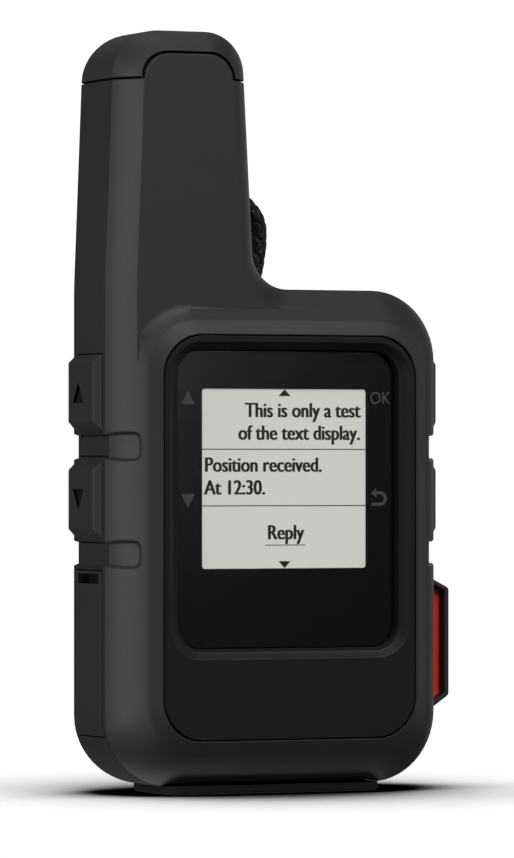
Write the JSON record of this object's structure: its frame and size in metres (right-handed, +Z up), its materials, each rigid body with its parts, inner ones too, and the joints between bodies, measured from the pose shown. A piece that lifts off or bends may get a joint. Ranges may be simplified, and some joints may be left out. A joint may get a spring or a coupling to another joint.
{
  "type": "handheld satellite emergency beacon",
  "caption": "Pocket emergency position beacon with a stubby antenna tower, recessed display, side keys, hinged guard over the emergency button, port cover, mounting spine and cord loop.",
  "frame": {"origin": "centre of the foot pad's flat face, which the beacon stands on, under the middle of the body", "axes": "+X viewer's right, -Y front (display side), +Z up, along the antenna tower"},
  "size_m": [0.0517, 0.0262, 0.099],
  "materials": {
    "grey_shell": "matte",
    "black_shell": "matte",
    "black_plastic": "matte",
    "lens": "gloss",
    "seal": "matte",
    "screen": "satin",
    "white_plastic": "satin",
    "ceramic": "matte",
    "flex": "satin",
    "red_plastic": "satin",
    "battery_wrap": "satin",
    "copper": "satin",
    "cord": "matte",
    "circuit_board": "satin",
    "steel": "satin",
    "rubber": "matte"
  },
  "bodies": {
    "case": {"antenna_board": "circuit_board", "antenna_cap": "grey_shell", "antenna_coax": "flex", "antenna_core": "white_plastic", "antenna_helix": "copper", "back_switch": "steel", "battery_foam": "seal", "battery_lead": "red_plastic", "battery_pack": "battery_wrap", "buzzer": "black_plastic", "case_gasket": "seal", "case_screw_1": "steel", "case_screw_2": "steel", "case_screw_3": "steel", "case_screw_4": "steel", "charging_port": "steel", "display_flex": "flex", "display_lens": "lens", "display_panel": "screen", "display_surround": "black_plastic", "display_tray": "white_plastic", "down_switch": "steel", "foot_pad": "rubber", "front_housing": "grey_shell", "gps_patch": "ceramic", "lanyard_cord": "cord", "lanyard_knot": "cord", "left_key_board": "circuit_board", "lens_gasket": "seal", "main_board": "circuit_board", "modem_shield": "steel", "mounting_spine": "black_plastic", "ok_switch": "steel", "power_switch": "steel", "processor_shield": "steel", "rear_housing": "black_shell", "right_key_board": "circuit_board", "sos_base": "black_plastic", "sos_hinge_pin": "steel", "sos_switch": "steel", "spine_screw_1": "steel", "spine_screw_2": "steel", "up_switch": "steel"},
    "up_key": {"up_key": "rubber"},
    "down_key": {"down_key": "rubber"},
    "ok_key": {"ok_key": "rubber"},
    "back_key": {"back_key": "rubber"},
    "power_key": {"power_key": "rubber"},
    "sos_button": {"sos_button": "red_plastic"},
    "sos_guard": {"sos_guard": "grey_shell", "sos_guard_liner": "red_plastic"},
    "port_cover": {"port_cover": "rubber"}
  },
  "joints": [
    {"name": "up_key_press", "type": "slide", "parent": "case", "child": "up_key", "axis": [1, 0, 0], "range_m": [0, 0.0005], "stiffness_N_per_m": 600},
    {"name": "down_key_press", "type": "slide", "parent": "case", "child": "down_key", "axis": [1, 0, 0], "range_m": [0, 0.0005], "stiffness_N_per_m": 600},
    {"name": "ok_key_press", "type": "slide", "parent": "case", "child": "ok_key", "axis": [-1, 0, 0], "range_m": [0, 0.0005], "stiffness_N_per_m": 600},
    {"name": "back_key_press", "type": "slide", "parent": "case", "child": "back_key", "axis": [-1, 0, 0], "range_m": [0, 0.0005], "stiffness_N_per_m": 600},
    {"name": "power_key_press", "type": "slide", "parent": "case", "child": "power_key", "axis": [0, 0, 1], "range_m": [0, 0.0005], "stiffness_N_per_m": 600},
    {"name": "sos_button_press", "type": "slide", "parent": "case", "child": "sos_button", "axis": [-1, 0, 0], "range_m": [0, 0.0008], "stiffness_N_per_m": 600},
    {"name": "sos_guard_hinge", "type": "hinge", "parent": "case", "child": "sos_guard", "pos_m": [0.0253, 0.0064, 0.0195], "axis": [0, 0, 1], "range_deg": [0, 110]},
    {"name": "port_cover_hinge", "type": "hinge", "parent": "case", "child": "port_cover", "pos_m": [-0.0233, -0.0015, 0.0075], "axis": [0, -1, 0], "range_deg": [0, 100], "stiffness_Nm_per_rad": 0.0008}
  ]
}
